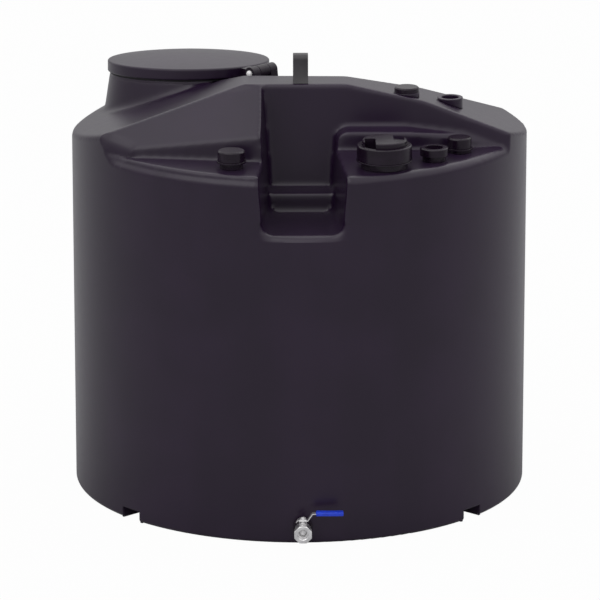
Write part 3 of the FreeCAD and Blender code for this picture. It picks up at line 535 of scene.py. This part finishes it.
def splitRoof(holes):
    # The faces of the CAD roof, parted into its outside and the rest
    shape = merged("tank_top", 0.0)
    rest = set()
    for face in shape.faces:
        middle = face.calc_center_median()
        flat = Vector((middle.x, middle.y, 0))
        slope = abs(face.normal.z)
        seamTop = wallBand["seam"] + telling["seamWithin"]
        onSeam = middle.z < seamTop and face.normal.z < telling["seamFacing"]
        inHole = slope < telling["portWalls"] and any(
            (flat - centre).length < bore * telling["portSlack"] for centre, bore in holes)
        inManway = slope < telling["manwayWalls"] and (fromTurret @ middle).xy.length < roof["manwayRim"]
        if onSeam or (inHole or inManway) and middle.z > roof["portsAbove"]:
            rest.add(face)
    shown = [face for face in shape.faces if face not in rest]
    highest = max(shown, key=lambda face: face.calc_center_median().z)
    outside = {highest}
    waiting = [highest]
    while waiting:
        for edge in waiting.pop().edges:
            for face in edge.link_faces:
                if face not in outside and face not in rest:
                    outside.add(face)
                    waiting.append(face)
    return shape, outside


def cells(shape):
    # The closed shape as a skin of even square cells
    block = bpy.data.meshes.new("roofBlock")
    shape.to_mesh(block)
    shape.free()
    holder = bpy.data.objects.new("roofBlock", block)
    bpy.context.collection.objects.link(holder)
    remesh = holder.modifiers.new("cells", "REMESH")
    remesh.mode = "VOXEL"
    remesh.voxel_size = roof["cell"]
    graph = bpy.context.evaluated_depsgraph_get()
    even = bpy.data.meshes.new_from_object(holder.evaluated_get(graph))
    bpy.data.objects.remove(holder)
    skin = bmesh.new()
    skin.from_mesh(even)
    return skin


def trimSkirt(skin):
    # End the skin level at the skirt, and make it as round as the wall below it
    everything = skin.verts[:] + skin.edges[:] + skin.faces[:]
    bmesh.ops.bisect_plane(skin, geom=everything, plane_co=(0, 0, roof["skirt"]), plane_no=(0, 0, -1),
                           clear_outer=True)
    for vert in skin.verts:
        distance = math.hypot(vert.co.x, vert.co.y)
        if abs(distance - wallBand["radius"]) < roof["roundWithin"]:
            vert.co.x *= wallBand["radius"] / distance
            vert.co.y *= wallBand["radius"] / distance


def openPorts(skin, holes):
    gone = []
    for face in skin.faces:
        middle = face.calc_center_median()
        flat = Vector((middle.x, middle.y, 0))
        within = any((flat - centre).length < bore + roof["portMargin"] for centre, bore in holes)
        if within and middle.z > roof["portsAbove"]:
            gone.append(face)
    bmesh.ops.delete(skin, geom=gone, context="FACES")


def relaxedRoof():
    holes = openings()
    shape, outside = splitRoof(holes)
    inside = shape.copy()
    kept = {face.index for face in outside}
    inside.faces.ensure_lookup_table()
    bmesh.ops.delete(inside, geom=[inside.faces[index] for index in kept], context="FACES")
    bmesh.ops.delete(shape, geom=[face for face in shape.faces if face not in outside], context="FACES")
    bmesh.ops.holes_fill(shape, edges=shape.edges, sides=0)
    addTurret(shape)
    skin = cells(shape)
    under = roof["skirt"] - roof["skirtMargin"]
    low = [face for face in skin.faces if face.calc_center_median().z < under]
    bmesh.ops.delete(skin, geom=low, context="FACES")
    carveTip(skin)
    for turn in range(roof["relaxing"]):
        skin.normal_update()
        relax(skin, [vert for vert in skin.verts if hollowness(vert) < roof["hollow"]])
    softenFoot(skin)
    softenTip(skin)
    softenLip(skin)
    trimSkirt(skin)
    openPorts(skin, holes)
    openTurret(skin)
    return skin, inside


def roofPiece():
    skin, inside = relaxedRoof()
    print("roof skin faces", len(skin.faces), "inside faces", len(inside.faces))
    piece = finished("tankRoof", skin, "wall", "tank", 38.0)
    lining = finished("tankRoofInside", inside, "wall", "tank", 30.0)
    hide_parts("tank_top")


roofPiece()
print("roof ready")

# Studio: a floor that the camera sees nearly white, a world that is brighter overhead, two soft lamps
studio = {
    "horizon": 0.40,
    "overhead": 1.10,
    "brightHeight": 0.60,
    "floorSize": 30.0,
    "floorColour": (0.46, 0.46, 0.47),
    "floorRoughness": 0.9,
    "floorShine": 0.1,
    "floorWhite": 0.975,
    "floorGleam": 0.03,
    "lampSize": 5.0,
    "lampAim": (0, 0, 0.8),
    "lamps": {"keyLamp": ((-2.4, -2.2, 6.2), 60.0), "backLamp": ((2.4, 2.6, 6.0), 36.0)},
}


def makeWorld():
    world = bpy.data.worlds.new("studioWorld")
    bpy.context.scene.world = world
    world.use_nodes = True
    sky = Bench(world.node_tree)
    ground = world.node_tree.nodes["Background"]
    place = sky.node("ShaderNodeTexCoord", output="Generated")
    height = sky.node("ShaderNodeSeparateXYZ", None, {"Vector": place}, "Z")
    rise = {"Value": height, "From Max": studio["brightHeight"]}
    rise.update({"To Min": studio["horizon"], "To Max": studio["overhead"]})
    sky.feed(ground.inputs["Strength"], sky.node("ShaderNodeMapRange", None, rise))
    ground.inputs["Color"].default_value = (1, 1, 1, 1)


def floorPaper():
    colour = (*studio["floorColour"], 1)
    recipe = Recipe("floorPaper", Base_Color=colour, Roughness=studio["floorRoughness"],
                    Specular_IOR_Level=studio["floorShine"])
    white = recipe.node("ShaderNodeEmission", None, {"Strength": 1.0})
    seen, mirrored, passed = [recipe.node("ShaderNodeLightPath", output=ray)
                              for ray in ("Is Camera Ray", "Is Glossy Ray", "Is Transmission Ray")]
    pale = seen * studio["floorWhite"] + (mirrored + passed) * studio["floorGleam"]
    plain = Wire(recipe, recipe.shader.outputs[0])
    mixed = recipe.node("ShaderNodeMixShader", None, {0: pale, 1: plain, 2: white})
    recipe.feed(recipe.tree.nodes["Material Output"].inputs["Surface"], mixed)
    return recipe.material


def makeFloor():
    shape = bmesh.new()
    bmesh.ops.create_grid(shape, x_segments=1, y_segments=1, size=studio["floorSize"])
    mesh = bpy.data.meshes.new("studioFloor")
    shape.to_mesh(mesh)
    shape.free()
    mesh.materials.append(floorPaper())
    floor = bpy.data.objects.new("studioFloor", mesh)
    bpy.context.collection.objects.link(floor)


def makeLamps():
    for name, (place, power) in studio["lamps"].items():
        lamp = bpy.data.lights.new(name, "AREA")
        lamp.energy = power
        lamp.size = studio["lampSize"]
        holder = bpy.data.objects.new(name, lamp)
        holder.location = place
        aim = Vector(studio["lampAim"]) - Vector(place)
        holder.rotation_euler = aim.to_track_quat("-Z", "Y").to_euler()
        bpy.context.collection.objects.link(holder)


# Camera, as fitted to the photograph
view = {
    "distance": 15.4575,
    "height": 4.98,
    "turn": -0.8,
    "pitch": 15.81,
    "lens": 289.08,
    "sensor": 36.0,
    "shift": 0.001,
    "farthest": 200.0,
}


def makeCamera():
    camera = bpy.data.cameras.new("viewCamera")
    camera.lens = view["lens"]
    camera.sensor_width = view["sensor"]
    camera.shift_x = view["shift"]
    camera.clip_end = view["farthest"]
    holder = bpy.data.objects.new("viewCamera", camera)
    turn = math.radians(view["turn"])
    away = view["distance"]
    holder.location = (away * math.sin(turn), -away * math.cos(turn), view["height"])
    holder.rotation_euler = (math.radians(90.0 - view["pitch"]), 0.0, turn)
    bpy.context.collection.objects.link(holder)
    bpy.context.scene.camera = holder


bpy.context.scene.view_settings.view_transform = "Standard"
makeWorld()
makeFloor()
makeLamps()
makeCamera()
print("studio ready")
